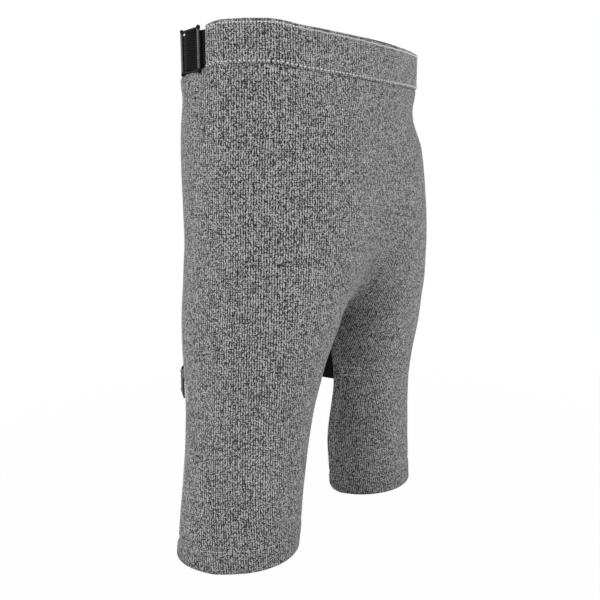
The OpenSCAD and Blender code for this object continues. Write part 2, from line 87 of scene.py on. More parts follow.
def newObject(name, data):
    made = bpy.data.objects.new(name, data)
    bpy.context.collection.objects.link(made)
    return made


def aimedAt(place, target):
    return (Vector(target) - Vector(place)).to_track_quat("-Z", "Y").to_euler()


def makeCamera():
    turn, height = math.radians(viewSetup["turn"]), math.radians(viewSetup["height"])
    back = Vector((math.sin(turn) * math.cos(height), -math.cos(turn) * math.cos(height), math.sin(height)))
    lens = bpy.data.cameras.new("guardCamera")
    lens.lens = viewSetup["lens"]
    lens.sensor_width = 36
    lens.shift_x, lens.shift_y = viewSetup["shift"]
    camera = newObject("guardCamera", lens)
    camera.location = Vector(viewSetup["target"]) + back * viewSetup["distance"]
    camera.rotation_euler = aimedAt(camera.location, viewSetup["target"])
    bpy.context.scene.camera = camera


def makeLight(name, place, size, power):
    lamp = bpy.data.lights.new(name, "AREA")
    lamp.shape = "DISK"
    lamp.size = size
    lamp.energy = power
    light = newObject(name, lamp)
    light.location = place
    light.rotation_euler = aimedAt(place, lightSetup["aim"])


def newNode(tree, kind, inputs={}, **settings):
    # each input is a plain value or the socket that feeds it
    node = tree.nodes.new(kind)
    for setting, value in settings.items():
        setattr(node, setting, value)
    for label, value in inputs.items():
        if isinstance(value, bpy.types.NodeSocket):
            tree.links.new(value, node.inputs[label])
        else:
            node.inputs[label].default_value = value
    return node


def mathNode(operation, a, b=None, clamp=False):
    tree = (b if isinstance(a, (int, float)) else a).id_data
    values = {0: a} if b is None else {0: a, 1: b}
    return newNode(tree, "ShaderNodeMath", values, operation=operation, use_clamp=clamp).outputs[0]


def plus(a, b):
    return mathNode("ADD", a, b)


def minus(a, b, clamp=False):
    return mathNode("SUBTRACT", a, b, clamp)


def times(a, b, clamp=False):
    return mathNode("MULTIPLY", a, b, clamp)


def newMaterial(name):
    material = bpy.data.materials.new(name)
    material.use_nodes = True
    material.node_tree.nodes.clear()
    return material, material.node_tree


def setSurface(tree, shader):
    newNode(tree, "ShaderNodeOutputMaterial", {"Surface": shader.outputs[0]})


def makeWorld():
    world = bpy.data.worlds.new("studioWorld")
    world.use_nodes = True
    bpy.context.scene.world = world
    tree = world.node_tree
    tree.nodes.clear()
    soft = newNode(tree, "ShaderNodeBackground", {"Strength": lightSetup["world"]})
    seen = newNode(tree, "ShaderNodeBackground", {"Color": (1, 1, 1, 1)})
    rays = newNode(tree, "ShaderNodeLightPath").outputs
    direct = mathNode("MAXIMUM", rays["Is Camera Ray"], rays["Is Glossy Ray"])
    direct = mathNode("MAXIMUM", direct, rays["Is Transmission Ray"])
    mix = newNode(tree, "ShaderNodeMixShader", {0: direct, 1: soft.outputs[0], 2: seen.outputs[0]})
    newNode(tree, "ShaderNodeOutputWorld", {"Surface": mix.outputs[0]})


def makeFloor():
    material, tree = newMaterial("paleFloor")
    place = newNode(tree, "ShaderNodeTexCoord").outputs["Object"]
    away = newNode(tree, "ShaderNodeVectorMath", {0: place}, operation="LENGTH").outputs["Value"]
    start, stop = lightSetup["floorFade"]
    fade = newNode(tree, "ShaderNodeMapRange", {"Value": away, "From Min": start, "From Max": stop,
                                                "To Min": lightSetup["floorGlow"]})
    rays = newNode(tree, "ShaderNodeLightPath").outputs
    matt = newNode(tree, "ShaderNodeBsdfDiffuse", {"Color": lightSetup["floor"]})
    white = newNode(tree, "ShaderNodeEmission", {"Color": (1, 1, 1, 1)})
    share = times(fade.outputs["Result"], rays["Is Camera Ray"])
    setSurface(tree, newNode(tree, "ShaderNodeMixShader", {0: share, 1: matt.outputs[0], 2: white.outputs[0]}))
    mesh = bpy.data.meshes.new("paleFloor")
    r, level = lightSetup["floorRadius"], cadBox[0][2] - 0.001
    ring = [(r * math.cos(math.tau * i / 48), r * math.sin(math.tau * i / 48), level) for i in range(48)]
    mesh.from_pydata(ring, [], [list(range(48))])
    mesh.materials.append(material)
    newObject("paleFloor", mesh)


makeCamera()
for lampName in ("key", "fill", "back"):
    lamp = lightSetup[lampName]
    makeLight(lampName + "Light", lamp["at"], lamp["size"], lamp["power"])
makeWorld()
makeFloor()
bpy.context.scene.view_settings.view_transform = "Standard"
print("camera, light and floor made")

# ---- finishes ----
knitLook = {
    "yarn": {
        "Dark": (0.012, 0.012, 0.013, 1),
        "Middle": (0.13, 0.13, 0.133, 1),
        "Light": (0.69, 0.69, 0.695, 1),
        "Speck": 1150,        # specks per metre
        "Wale": 370,          # wales per metre, across the cloth
    },
    "bump": 0.0011, "rough": 0.92, "sheen": 0.25, "gloss": 0.2,
}
casingLook = {**knitLook, "yarn": {**knitLook["yarn"], "Speck": 1200}}
webbingLook = {"yarn": {"Colour": (0.0025, 0.0025, 0.0028, 1), "Ribs": 420, "Picks": 900},
               "bump": 0.0007, "rough": 0.8, "sheen": 0.0, "gloss": 0.06}
elasticLook = {"yarn": {"Colour": (0.002, 0.002, 0.0022, 1), "Ribs": 760, "Picks": 420},
               "bump": 0.0005, "rough": 0.8, "sheen": 0.02, "gloss": 0.1}
plasticLook = {"colour": (0.0062, 0.0078, 0.0062, 1), "scuffed": (0.02, 0.022, 0.02, 1), "rough": 0.42}
barLook = {"colour": (0.045, 0.045, 0.047, 1), "worn": (0.11, 0.11, 0.113, 1), "knob": (0.012, 0.012, 0.013, 1),
           "knobFrom": 0.0188}
threadLook = {"light": (0.95, 0.95, 0.94, 1), "dark": (0.012, 0.012, 0.013, 1)}
hemShade = {"low": -0.5235, "high": -0.5215, "share": 0.93}
# painted shade: the knit's colour is darkened in the valley between the legs
# fitted to the tone in the photograph, not a feature of the cloth
paintedValleyShade = {"x": 0.040, "z": -0.292, "tall": 0.075, "depth": 0.42}
# painted shade along the top fold of the casing
foldPaintedShade = {"middle": 0.0442, "half": 0.0022, "soft": 0.0015, "share": 0.4}


def nodeGroup(name, inputs):
    # a group that turns the place on the flat cloth, in metres, into a colour and a height
    tree = bpy.data.node_groups.new(name, "ShaderNodeTree")
    for label, kind in {"Cloth": "Vector", **inputs}.items():
        tree.interface.new_socket(label, in_out="INPUT", socket_type="NodeSocket" + kind)
    for label, kind in (("Colour", "Color"), ("Height", "Float")):
        tree.interface.new_socket(label, in_out="OUTPUT", socket_type="NodeSocket" + kind)
    return tree, newNode(tree, "NodeGroupInput").outputs


def mixColour(share, a, b, blendType="MIX"):
    tree = next(value for value in (share, a, b) if isinstance(value, bpy.types.NodeSocket)).id_data
    return newNode(tree, "ShaderNodeMix", {0: share, 6: a, 7: b}, data_type="RGBA", blend_type=blendType).outputs[2]


def darkened(colour, share):
    return mixColour(1.0, colour, share, "MULTIPLY")


def scaled(vector, factor):
    return newNode(vector.id_data, "ShaderNodeVectorMath", {0: vector, 1: factor}, operation="MULTIPLY").outputs[0]


def noiseNode(vector, scale, detail=2, rough=0.5):
    return newNode(vector.id_data, "ShaderNodeTexNoise",
                   {"Vector": vector, "Scale": scale, "Detail": detail, "Roughness": rough}).outputs["Fac"]


def axes(vector):
    return newNode(vector.id_data, "ShaderNodeSeparateXYZ", {0: vector}).outputs


def ripple(value):
    return mathNode("ABSOLUTE", mathNode("SINE", times(value, math.pi)))


def swing(value, weight):
    return times(minus(value, 0.5), weight)


def ramp(value, start, stop, low):
    # from low up to 1 between start and stop
    level = newNode(value.id_data, "ShaderNodeMapRange", {"Value": value, "From Min": start, "From Max": stop,
                                                          "To Min": low})
    return level.outputs["Result"]


def heatherKnitGroup():
    # salt and pepper yarn over faint upright wales
    tree, given = nodeGroup("heatherKnit", {"Dark": "Color", "Middle": "Color", "Light": "Color",
                                            "Speck": "Float", "Wale": "Float"})
    cloth, speck, wale = given["Cloth"], given["Speck"], given["Wale"]
    tall = scaled(cloth, (1.0, 0.72, 1.0))
    fine = noiseNode(tall, speck, 3, 0.7)
    flecks = newNode(tree, "ShaderNodeTexVoronoi", {"Vector": tall, "Scale": speck})
    fleck = newNode(tree, "ShaderNodeSeparateColor", {0: flecks.outputs["Color"]}).outputs[0]
    coarse = noiseNode(cloth, 14, 3, 0.55)
    patch = noiseNode(scaled(cloth, (1.0, 0.3, 1.0)), 130)
    place = axes(cloth)
    wales = ripple(times(place[0], wale))
    loops = ripple(times(place[1], times(wale, 1.35)))
    stitch = times(wales, plus(times(loops, 0.45), 0.55))
    tone = plus(swing(fleck, 1.8), 0.44)
    for part, weight in ((stitch, 1.3), (patch, 0.2), (coarse, 0.22)):
        tone = plus(tone, swing(part, weight))
    colour = mixColour(times(tone, 2, clamp=True), given["Dark"], given["Middle"])
    colour = mixColour(minus(times(tone, 2), 1, clamp=True), colour, given["Light"])
    height = plus(times(stitch, 0.6), times(fine, 0.8))
    newNode(tree, "NodeGroupOutput", {"Colour": colour, "Height": height})
    return tree


def wovenBandGroup():
    # ribs along a band and the picks across them, with painted sheen lightening the rib tops
    tree, given = nodeGroup("wovenBand", {"Colour": "Color", "Ribs": "Float", "Picks": "Float"})
    cloth, base = given["Cloth"], given["Colour"]
    place = axes(cloth)
    across = times(place[1], given["Ribs"])
    shift = times(mathNode("MODULO", mathNode("FLOOR", across), 2), 0.5)
    pick = ripple(plus(times(place[0], given["Picks"]), shift))
    fuzz = noiseNode(cloth, 1600, 2, 0.6)
    wear = noiseNode(cloth, 60, 3)
    height = plus(times(ripple(across), 0.7), times(pick, 0.35))
    # painted sheen: the colour grows lighter on the rib tops, along with the fuzz and wear
    shade = plus(plus(times(height, 0.9), times(fuzz, 0.7)), times(wear, 0.5))
    share = mathNode("POWER", times(shade, 0.58, clamp=True), 3.0)
    colour = mixColour(share, base, mixColour(1.0, base, (16, 16, 16, 1), "MULTIPLY"))
    newNode(tree, "NodeGroupOutput", {"Colour": colour, "Height": plus(height, times(fuzz, 0.25))})
    return tree


knitGroup = heatherKnitGroup()
bandGroup = wovenBandGroup()


def clothFinish(name, group, look, darker=None):
    material, tree = newMaterial(name)
    uv = newNode(tree, "ShaderNodeUVMap", uv_map="cloth").outputs["UV"]
    weave = newNode(tree, "ShaderNodeGroup", {"Cloth": uv, **look["yarn"]}, node_tree=group)
    colour = weave.outputs["Colour"]
    bump = newNode(tree, "ShaderNodeBump", {"Strength": 0.75, "Distance": look["bump"],
                                            "Height": weave.outputs["Height"]})
    setSurface(tree, newNode(tree, "ShaderNodeBsdfPrincipled", {
        "Base Color": darker(colour) if darker else colour, "Roughness": look["rough"],
        "Specular IOR Level": look["gloss"], "Sheen Weight": look["sheen"], "Sheen Roughness": 0.6,
        "Normal": bump.outputs["Normal"]}))
    return material


def panelShade(colour):
    # the hem is a little darker, and the soft valley between the legs is darkened as painted shade
    place = axes(newNode(colour.id_data, "ShaderNodeTexCoord").outputs["Object"])
    colour = darkened(colour, ramp(place[2], hemShade["low"], hemShade["high"], hemShade["share"]))
    # painted shade, darkest at the middle of the valley between the legs
    wide = mathNode("DIVIDE", place[0], paintedValleyShade["x"])
    tall = mathNode("DIVIDE", minus(place[2], paintedValleyShade["z"]), paintedValleyShade["tall"])
    near = mathNode("EXPONENT", times(plus(times(wide, wide), times(tall, tall)), -1))
    return darkened(colour, minus(1, times(near, paintedValleyShade["depth"])))


def casingPaintedShade(colour):
    # painted shade darkens the casing along its top fold, found by the place up the cloth
    uv = newNode(colour.id_data, "ShaderNodeUVMap", uv_map="cloth").outputs["UV"]
    away = mathNode("ABSOLUTE", minus(axes(uv)[1], foldPaintedShade["middle"]))
    return darkened(colour, ramp(away, foldPaintedShade["half"], foldPaintedShade["half"] + foldPaintedShade["soft"], foldPaintedShade["share"]))


knitCloth = clothFinish("knitCloth", knitGroup, knitLook, panelShade)
casingCloth = clothFinish("casingCloth", knitGroup, casingLook, casingPaintedShade)
webbingCloth = clothFinish("webbingCloth", bandGroup, webbingLook)
elasticCloth = clothFinish("elasticCloth", bandGroup, elasticLook)


def mouldedPlastic():
    material, tree = newMaterial("mouldedPlastic")
    place = newNode(tree, "ShaderNodeTexCoord").outputs["Object"]
    cloud = noiseNode(place, 90, 3)
    grain = noiseNode(place, 1900, 2, 0.6)
    bump = newNode(tree, "ShaderNodeBump", {"Strength": 0.5, "Distance": 0.0002, "Height": grain})
    scuffs = times(minus(cloud, 0.5), 1.6, clamp=True)
    setSurface(tree, newNode(tree, "ShaderNodeBsdfPrincipled", {
        "Base Color": mixColour(scuffs, plasticLook["colour"], plasticLook["scuffed"]),
        "Roughness": plus(times(cloud, 0.22), plasticLook["rough"] - 0.1), "Normal": bump.outputs["Normal"]}))
    return material


def coatedBar():
    # grey coated steel with darker moulded ends
    material, tree = newMaterial("coatedBar")
    place = newNode(tree, "ShaderNodeTexCoord").outputs["Object"]
    end = mathNode("GREATER_THAN", mathNode("ABSOLUTE", axes(place)[2]), barLook["knobFrom"])
    cloud = noiseNode(place, 260, 3, 0.6)
    grey = mixColour(cloud, barLook["colour"], barLook["worn"])
    setSurface(tree, newNode(tree, "ShaderNodeBsdfPrincipled", {
        "Base Color": mixColour(end, grey, barLook["knob"]), "Specular IOR Level": minus(0.5, times(end, 0.42)),
        "Metallic": times(minus(1, end), 0.6), "Roughness": plus(times(cloud, 0.2), 0.3)}))
    return material


def threadFinish(name, colour):
    material, tree = newMaterial(name)
    twist = noiseNode(newNode(tree, "ShaderNodeTexCoord").outputs["Object"], 900, 2, 0.6)
    dim = tuple(c * 0.8 for c in colour[:3]) + (1,)
    setSurface(tree, newNode(tree, "ShaderNodeBsdfPrincipled", {
        "Base Color": mixColour(twist, colour, dim), "Roughness": 0.8, "Sheen Weight": 0.2}))
    return material


blackPlastic = mouldedPlastic()
greyBar = coatedBar()
lightThread = threadFinish("lightThread", threadLook["light"])
darkThread = threadFinish("darkThread", threadLook["dark"])
print("finishes made")

# ---- shape of the waist and legs; each list runs down the leg: waist, hips, seat, crotch, thigh, hem ----
guardShape = {
    "drop": [-0.021, 0.100, 0.200, 0.297, 0.398, 0.550],
    "legMiddle": [0.020, 0.050, 0.071, 0.0945, 0.109, 0.126],
    "halfWidth": [0.130, 0.124, 0.106, 0.086, 0.0725, 0.070],
    "halfDepth": [0.095, 0.114, 0.112, 0.0955, 0.077, 0.071],
    "legBack": [0.007, 0.010, 0.006, 0.009, 0.012, 0.013],
    "valley": [0.030, 0.038, 0.035, 0.010, 0.0, 0.0],
    "backShare": 0.83,
    "innerTurn": 178.2,
    "edgeTurn": 36,
    "tuck": 0.0012,
    "blend": 0.070,
}
waistShape = {"width": 0.330, "frontRadius": 0.284, "hipRadius": 0.086}
bandShape = {"beltWidth": 0.038, "beltThick": 0.0015, "clothThick": 0.0016, "room": 0.00035, "lap": 0.006,
             "turn": 88, "gap": 0.0006, "clothLap": 0.002, "frontDip": -0.003, "hipRise": 0.008, "riseTurn": 0.82}

frontRadius, hipRadius = waistShape["frontRadius"], waistShape["hipRadius"]
beltWidth, beltThick, clothThick = bandShape["beltWidth"], bandShape["beltThick"], bandShape["clothThick"]
sideX = waistShape["width"] / 2 - hipRadius
radiusStep = frontRadius - hipRadius
frontTurn = math.asin(sideX / radiusStep)
waistDepth = frontRadius + hipRadius - radiusStep * math.cos(frontTurn)
frontY = frontRadius - waistDepth / 2
sideY = waistDepth / 2 - hipRadius
backY = waistDepth / 2
frontLength = frontRadius * frontTurn
panelTop = beltWidth / 2 + bandShape["gap"]
casingBottom = panelTop + bandShape["lap"]
casingEdge = panelTop + bandShape["clothLap"]
hemDrop = guardShape["drop"][-1]


def waistPoint(turn, out):
    # turn in radians from the front, either way
    side = -1 if turn < 0 else 1
    turn = abs(turn)
    if turn <= frontTurn:
        r = frontRadius + out
        return Vector((side * r * math.sin(turn), frontY - r * math.cos(turn)))
    r = hipRadius + out
    return Vector((side * (sideX + r * math.sin(turn)), sideY - r * math.cos(turn)))


def turnAt(length):
    if length <= frontLength:
        return length / frontRadius
    return frontTurn + (length - frontLength) / hipRadius


def eased(u):
    u = min(1, max(0, u))
    return u * u * (3 - 2 * u)


def bandRise(place):
    # the worn band dips at the middle of the front and rises towards the hips
    x = abs(place.x)
    if x < frontRadius * math.sin(frontTurn):
        turn = math.asin(x / frontRadius)
    else:
        turn = math.asin(min(1, (x - sideX) / hipRadius))
    rise = bandShape["frontDip"] + bandShape["hipRise"] * eased(turn / bandShape["riseTurn"])
    return rise * (1 - eased((place.y + 0.012) / 0.03))


def along(values, drop):
    drops = guardShape["drop"]
    last = len(drops) - 1
    i = max([k for k in range(last) if drops[k] <= drop], default=0)
    h = drops[i + 1] - drops[i]
    u = (drop - drops[i]) / h
    slope = []
    for k in (i, i + 1):
        a, b = max(0, k - 1), min(last, k + 1)
        slope.append((values[b] - values[a]) / (drops[b] - drops[a]))
    return (values[i] * (1 + 2 * u) * (1 - u) ** 2 + slope[0] * h * u * (1 - u) ** 2
            + values[i + 1] * u * u * (3 - 2 * u) - slope[1] * h * u * u * (1 - u))


def innerX(drop):
    return along(guardShape["legMiddle"], drop) + along(guardShape["halfWidth"], drop) * math.cos(
        math.radians(guardShape["innerTurn"]))


def joined(drop):
    return innerX(drop) <= max(0, along(guardShape["valley"], drop))


def legPoint(drop, t):
    # t runs from the outer edge (0) to the inner edge or the middle of the front (1)
    middle = along(guardShape["legMiddle"], drop)
    halfWidth = along(guardShape["halfWidth"], drop)
    halfDepth = along(guardShape["halfDepth"], drop)
    valley = max(0, along(guardShape["valley"], drop))
    reach = max(innerX(drop), valley)
    edgeTurn = math.radians(guardShape["edgeTurn"])
    inner = math.acos(min(1, max(-1, (reach - middle) / halfWidth)))
    angle = -edgeTurn + (inner + edgeTurn) * t
    r = middle + halfWidth * math.cos(angle)
    x = math.sqrt(max(0, r * r - valley * valley))
    share = guardShape["backShare"] if angle < 0 else 1
    y = along(guardShape["legBack"], drop) - halfDepth * share * math.sin(angle)
    edgeLength = frontLength + hipRadius * (math.pi / 2 + edgeTurn - frontTurn)
    tuck = guardShape["tuck"] * math.exp(-((drop - casingBottom - 0.020) / 0.020) ** 2)
    waist = waistPoint(turnAt(edgeLength * (1 - t)), -tuck)
    k = eased((drop - casingBottom) / guardShape["blend"])
    if t == 1 and joined(drop):
        x = 0
    return Vector((waist.x * (1 - k) + x * k, waist.y * (1 - k) + y * k, -drop))


def legNormal(drop, t):
    t0, t1 = max(0, t - 0.004), min(1, t + 0.004)
    d0, d1 = max(panelTop, drop - 0.001), min(hemDrop, drop + 0.001)
    normal = (legPoint(drop, t1) - legPoint(drop, t0)).cross(legPoint(d1, t) - legPoint(d0, t))
    if t > 0.999 and joined(drop):
        normal.x = 0
    return normal.normalized()


def offsetPoint(drop, t, out):
    return legPoint(drop, t) + legNormal(drop, t) * out


# ---- cloth mesh tools ----
def runLength(line):
    length = [0.0]
    for a, b in zip(line, line[1:]):
        length.append(length[-1] + (Vector(b) - Vector(a)).length)
    return length


def meshObject(name, vertices, faces, uvs, material):
    mesh = bpy.data.meshes.new(name)
    mesh.from_pydata([tuple(v) for v in vertices], [], faces)
    layer = mesh.uv_layers.new(name="cloth")
    for loop in mesh.loops:
        layer.data[loop.index].uv = uvs[loop.vertex_index]
    mesh.materials.append(material)
    return newObject(name, mesh)


def weld(piece, distance=1e-6):
    work = bmesh.new()
    work.from_mesh(piece.data)
    bmesh.ops.remove_doubles(work, verts=work.verts, dist=distance)
    work.to_mesh(piece.data)
    work.free()


def baked(piece):
    # the evaluated piece as a plain mesh, with its modifiers gone
    evaluated = piece.evaluated_get(bpy.context.evaluated_depsgraph_get())
    mesh = bpy.data.meshes.new_from_object(evaluated)
    piece.modifiers.clear()
    if piece.type == "MESH":
        piece.data = mesh
        return piece
    solid = newObject(piece.name, mesh)
    bpy.data.objects.remove(piece)
    return solid


def addBevel(piece, width, sharpTurn):
    soft = piece.modifiers.new("edge", "BEVEL")
    soft.width = width
    soft.segments = 2
    soft.limit_method = "ANGLE"
    soft.angle_limit = math.radians(sharpTurn)


def smoothed(piece):
    for face in piece.data.polygons:
        face.use_smooth = True
    return piece


def thickened(piece, thickness, edge):
    solid = piece.modifiers.new("thickness", "SOLIDIFY")
    solid.thickness = thickness
    solid.offset = 0
    if edge:
        addBevel(piece, edge, 55)
    return smoothed(baked(piece))


def gridCloth(name, grid, uvs, material, thickness, edge=0.0003):
    # grid is a list of rows; across the columns and then down the rows is outwards
    columns = len(grid[0])
    faces = [[i * columns + j, i * columns + j + 1, (i + 1) * columns + j + 1, (i + 1) * columns + j]
             for i in range(len(grid) - 1) for j in range(columns - 1)]
    piece = meshObject(name, [p for row in grid for p in row], faces, [q for row in uvs for q in row], material)
    return thickened(piece, thickness, edge)


# ---- front panel ----
panelCloth = {
    "thick": 0.002,
    "rows": 184,
    "columns": 104,      # on each leg
    "cornerRadius": 0.014,
    "legLength": 0.240,
    "gather": 0.0007,    # depth of the small gathers under the band
    "soft": 0.0011,      # depth of the soft unevenness
    "drag": 0.0013,      # depth of the drag lines from the crotch
    "hipEase": 0.0058,   # fullness over each hip
    "edgeDip": 0.013,   # how much lower the hem hangs at the outer edge
    "edgeFlare": 0.005,
    "wales": (0.1, 0.7), # share of each row over which the wales are kept plumb
    "bandStep": 0.0019,  # how far the knit stands out just under the band, level with its face
    "innerCut": 0.0145,  # hollow of each leg's inner edge below the crotch
    "hem": 0.028,
}
panelThick, legLength = panelCloth["thick"], panelCloth["legLength"]


def cornerCut(drop):
    e = max(0, panelCloth["cornerRadius"] - hemDrop + drop)
    r = panelCloth["cornerRadius"]
    return (r - math.sqrt(max(0, r * r - e * e))) / legLength


def clothLift(side, drop, t):
    # how far the worn cloth stands off its even shape
    x = side * (1 - t)
    under = drop - casingBottom
    fadeIn = eased((drop - panelTop) / 0.03)
    gathers = math.sin(x * 95 + 2 * math.sin(x * 21)) * math.exp(-(under / 0.03) ** 2) * panelCloth["gather"]
    soft = noise.noise(Vector((x * 3.1, drop * 9, 3.7))) + 0.45 * noise.noise(Vector((x * 9, drop * 26, 8.1)))
    fan = math.sin(90 * ((drop - 0.322) * 0.8 + (1 - t) * 0.17))
    pull = fan * math.exp(-((drop - 0.30) / 0.075) ** 2 - ((1 - t) / 0.3) ** 2)
    hemTop = drop - (hemDrop - panelCloth["hem"])
    seam = -0.0014 * math.exp(-(hemTop / 0.0024) ** 2) + 0.0009 * eased(hemTop / 0.006)
    seam += panelCloth["hipEase"] * math.exp(-((drop - 0.066) / 0.036) ** 2) * eased((0.5 - t) / 0.3)
    below = drop - casingEdge
    seam += panelCloth["bandStep"] * eased((below + 0.0005) / 0.003) * math.exp(-(below / 0.02) ** 2)
    midFade = eased((1 - t) / 0.05) if joined(drop) else 1
    return (gathers + soft * panelCloth["soft"] + pull * panelCloth["drag"] * midFade) * fadeIn + seam


def innerCut(drop):
    grown = eased((drop - 0.296) / 0.030) * (1 - eased((drop - 0.375) / 0.11))
    return panelCloth["innerCut"] / legLength * grown


def panelPoint(side, drop, t, out=0.0):
    low = eased((drop - 0.42) / 0.13) * eased((0.42 - t) / 0.42) ** 1.6
    p = offsetPoint(drop, t, out + clothLift(side, drop, t) + panelCloth["edgeFlare"] * low)
    p.z += bandRise(p) * (1 - eased((drop - 0.03) / 0.09)) - panelCloth["edgeDip"] * low
    if t == 1 and joined(drop):
        p.x = 0
    return Vector((side * p.x, p.y, p.z))


def notchDrop():
    low, high = 0.26, 0.36
    while high - low > 1e-5:
        half = (low + high) / 2
        low, high = (half, high) if joined(half) else (low, half)
    return low


def makePanel():
    rows, columns = panelCloth["rows"], panelCloth["columns"]
    notch = notchDrop()
    upper = round(rows * (notch - panelTop) / (hemDrop - panelTop))
    drops = [panelTop + (notch - panelTop) * i / upper for i in range(upper + 1)]
    lower = notch + 0.0001
    drops += [lower + (hemDrop - lower) * (i / (rows - upper)) for i in range(1, rows - upper + 1)]
    firstWale, lastWale = (round(share * columns) for share in panelCloth["wales"])
    vertices, faces, uvs = [], [], []
    for side in (1, -1):
        base = len(vertices)
        # each row is laid so that the wales hang plumb from the row above
        above, lengthAbove, shift = None, None, 0.0
        for drop in drops:
            reach = 1 - cornerCut(drop) - innerCut(drop)
            points = [panelPoint(side, drop, j / (columns - 1) * reach) for j in range(columns)]
            length = runLength(points)
            vertices += points
            if above:
                slips = [(points[j] - above[j]).dot((points[j + 1] - points[j - 1]).normalized())
                         - length[j] + lengthAbove[j] for j in range(firstWale, lastWale)]
                shift += sum(slips) / len(slips)
            above, lengthAbove = points, length
            uvs += [(side * (0.3 - s - shift), drop) for s in length]
        for i in range(len(drops) - 1):
            for j in range(columns - 1):
                quad = [base + i * columns + j, base + i * columns + j + 1,
                        base + (i + 1) * columns + j + 1, base + (i + 1) * columns + j]
                faces.append(quad if side == 1 else quad[::-1])
    piece = meshObject("kneeLengthPanel", vertices, faces, uvs, knitCloth)
    weld(piece)
    return thickened(piece, panelThick, 0)


def makeHem(side, name):
    depth = -panelThick / 2 - bandShape["room"] - clothThick / 2
    top = hemDrop - panelCloth["hem"]
    rows, columns = 16, 88
    grid, uvs = [], []
    for i in range(rows):
        drop = top + panelCloth["hem"] * i / (rows - 1)
        shares = [j / (columns - 1) for j in range(columns)]
        row = [panelPoint(side, drop, share * (1 - cornerCut(drop)), depth) for share in shares]
        grid.append(row if side == 1 else row[::-1])
        uvs.append([(0.5 + legLength * j / (columns - 1), drop) for j in range(columns)])
    return gridCloth(name, grid, uvs, knitCloth, clothThick)


panel = makePanel()
rightHem = makeHem(-1, "rightTurnedHem")
leftHem = makeHem(1, "leftTurnedHem")
print("panel and hems made")

# ---- waistband casing ----
casingShape = {"pucker": 0.00035, "puff": 0.0005, "stations": 236, "fold": 0.0021}
casingIn = max(beltThick, panelThick) / 2 + bandShape["room"]
casingMid = casingIn + clothThick / 2
casingTop = beltWidth / 2 + bandShape["gap"] + clothThick
seamRows = {"upper": casingTop - 0.0042, "lower": -casingEdge + 0.0026}


def waistLength(turn):
    # distance round the waist from the middle of the front
    past = abs(turn) - frontTurn
    length = frontLength + hipRadius * past if past > 0 else frontRadius * abs(turn)
    return math.copysign(length, turn)


def casingLift(turn, z):
    # the casing puffs between its two rows of stitching and puckers along them
    share = (z - seamRows["lower"]) / (seamRows["upper"] - seamRows["lower"])
    puff = casingShape["puff"] * math.sin(math.pi * share) ** 0.6 if 0 < share < 1 else 0
    near = min(abs(z - seamRows["lower"]), abs(z - seamRows["upper"]))
    pucker = casingShape["pucker"] * math.exp(-(near / 0.006) ** 2)
    wave = noise.noise(Vector((turn * 17, z * 60, 1.3))) + 0.6 * math.sin(turn * 61 + 3 * math.sin(turn * 9))
    return puff + pucker * (wave + 0.4)


def casingPoint(turn, side, z):
    p = waistPoint(turn, side * (casingMid + casingLift(turn, z)))
    return Vector((p.x, p.y, z + bandRise(p)))


def makeCasing():
    top = casingTop - clothThick / 2
    r = casingShape["fold"]
    wall = top - r
    line = [(1, -casingEdge + (wall + casingEdge) * i / 15) for i in range(16)]
    grid, uvs = [], []
    for s in range(casingShape["stations"]):
        turn = math.radians(bandShape["turn"]) * (1 - 2 * s / (casingShape["stations"] - 1))
        row = [casingPoint(turn, 1, z) for side, z in line]
        for k in range(1, 12):
            a = math.pi * k / 12
            p = waistPoint(turn, (casingMid + casingLift(turn, wall)) * math.cos(a))
            z = wall + r * math.sin(a) + 0.0002 * noise.noise(Vector((turn * 23, 5, k * 0.1)))
            row.append(Vector((p.x, p.y, z + bandRise(p))))
        row += [casingPoint(turn, -1, z) for side, z in reversed(line)]
        grid.append(row)
        uvs.append([(1.4 + waistLength(turn), v) for v in runLength(row)])
    return gridCloth("waistbandCasing", grid, uvs, casingCloth, clothThick)


casing = makeCasing()
print("casing made")

# ---- webbing and elastic ----
strapShape = {
    "adjusterTurn": 104, "adjusterLength": 0.034, "barRadius": 0.0017, "middleBar": 0.0014,
    "buckleRoom": 0.00035, "loopRoom": 0.0003, "layerRoom": 0.00045, "hipEnd": 176,
    "leftLength": 140,
}
beltBuckle = {"length": 0.036, "maleLength": 0.024, "mouth": 0.006, "bar": 0.0016, "barInset": 0.003}
legBuckle = {"length": 0.025, "maleLength": 0.014, "bar": 0.0012, "edgeGap": 0.004}
thighStrap = {
    "drop": 0.362, "width": 0.020, "thick": 0.0012, "elasticWidth": 0.048, "elasticThick": 0.0016, "lap": 0.030,
    "tabLap": 0.016, "straight": 0.048, "webbingTurn": 62, "sewnLap": 0.024, "sewnGap": 0.0006,
}
strapDrop, strapThick = thighStrap["drop"], thighStrap["thick"]


def lineNormal(line, i):
    a, b = line[max(0, i - 1)], line[min(len(line) - 1, i + 1)]
    return Vector((b[1] - a[1], a[0] - b[0], 0)).normalized()


def finer(line, step):
    # the same line with points no further apart than step
    fine = [Vector(line[0])]
    for a, b in zip(line, line[1:]):
        a, b = Vector(a), Vector(b)
        n = max(1, math.ceil((b - a).length / step))
        fine += [a + (b - a) * k / n for k in range(1, n + 1)]
    return fine


def band(name, line, width, thick, material, z=0.0, across=8, wave=0.0):
    # flat band that stands upright along a line in plan
    length = runLength(line)
    grid, uvs = [], []
    for k in range(across + 1):
        share = 0.5 - k / across
        height = z + width * share
        row, rowUv = [], []
        for i, p in enumerate(line):
            lift = wave * noise.noise(Vector((length[i] * 40, share * 1.3, width * 90)))
            q = Vector((p[0], p[1], 0)) + lineNormal(line, i) * lift
            row.append(Vector((q.x, q.y, height + 0.3 * wave * noise.noise(Vector((length[i] * 30, 4, 1))))))
            rowUv.append((length[i], width * share))
        grid.append(row)
        uvs.append(rowUv)
    return gridCloth(name, grid, uvs, material, thick, 0.00035)


